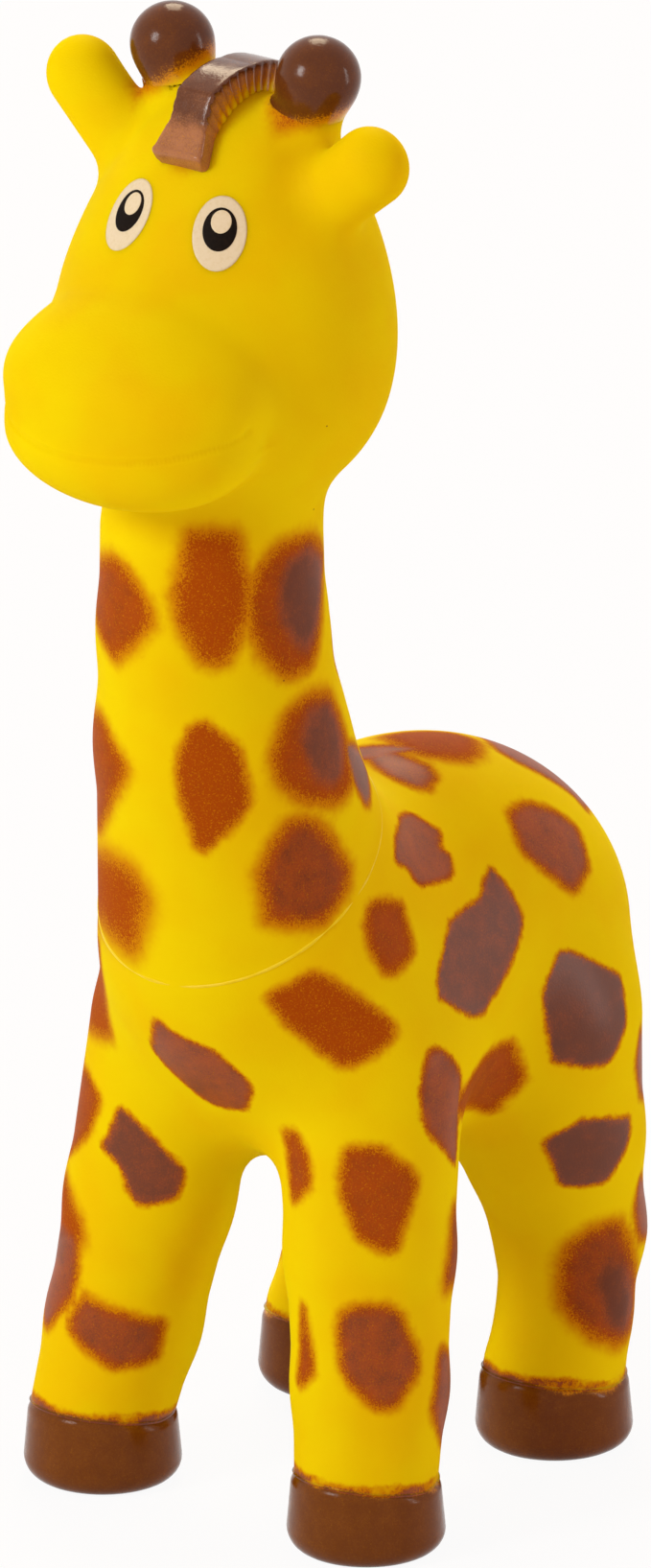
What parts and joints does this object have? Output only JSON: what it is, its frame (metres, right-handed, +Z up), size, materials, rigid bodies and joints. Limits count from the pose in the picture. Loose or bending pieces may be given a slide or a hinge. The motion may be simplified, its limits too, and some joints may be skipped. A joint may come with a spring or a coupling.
{
  "type": "toy giraffe figure",
  "caption": "Hollow soft vinyl giraffe figure standing on short legs, with a raised mane, knobbed horns, round ears and painted hooves.",
  "frame": {"origin": "under the middle of the figure, on the ground that its soles rest on", "axes": "+Z up, -Y is the way the giraffe faces, +X is the giraffe's own left"},
  "size_m": [0.0642, 0.1104, 0.2041],
  "materials": {
    "yellow_vinyl": "satin soft vinyl with sprayed brown spots",
    "clear_glue": "glossy hardened glue line",
    "brown_hoof_paint": "satin sprayed paint over vinyl",
    "brown_horn_paint": "satin sprayed paint over vinyl",
    "brown_mane_paint": "satin sprayed paint over vinyl",
    "cream_eye_print": "printed cream ink",
    "black_eye_print": "printed near-black ink"
  },
  "bodies": {
    "root": {"body_shell": "yellow_vinyl", "head_shell": "yellow_vinyl", "neck_glue": "clear_glue", "mane": "brown_mane_paint", "horn_left": "brown_horn_paint", "horn_right": "brown_horn_paint", "eye_left": "cream_eye_print", "eye_right": "cream_eye_print", "pupil_left": "black_eye_print", "pupil_right": "black_eye_print", "tail_tuft": "brown_hoof_paint", "hoof_front_left": "brown_hoof_paint", "hoof_front_right": "brown_hoof_paint", "hoof_rear_left": "brown_hoof_paint", "hoof_rear_right": "brown_hoof_paint"}
  },
  "joints": []
}
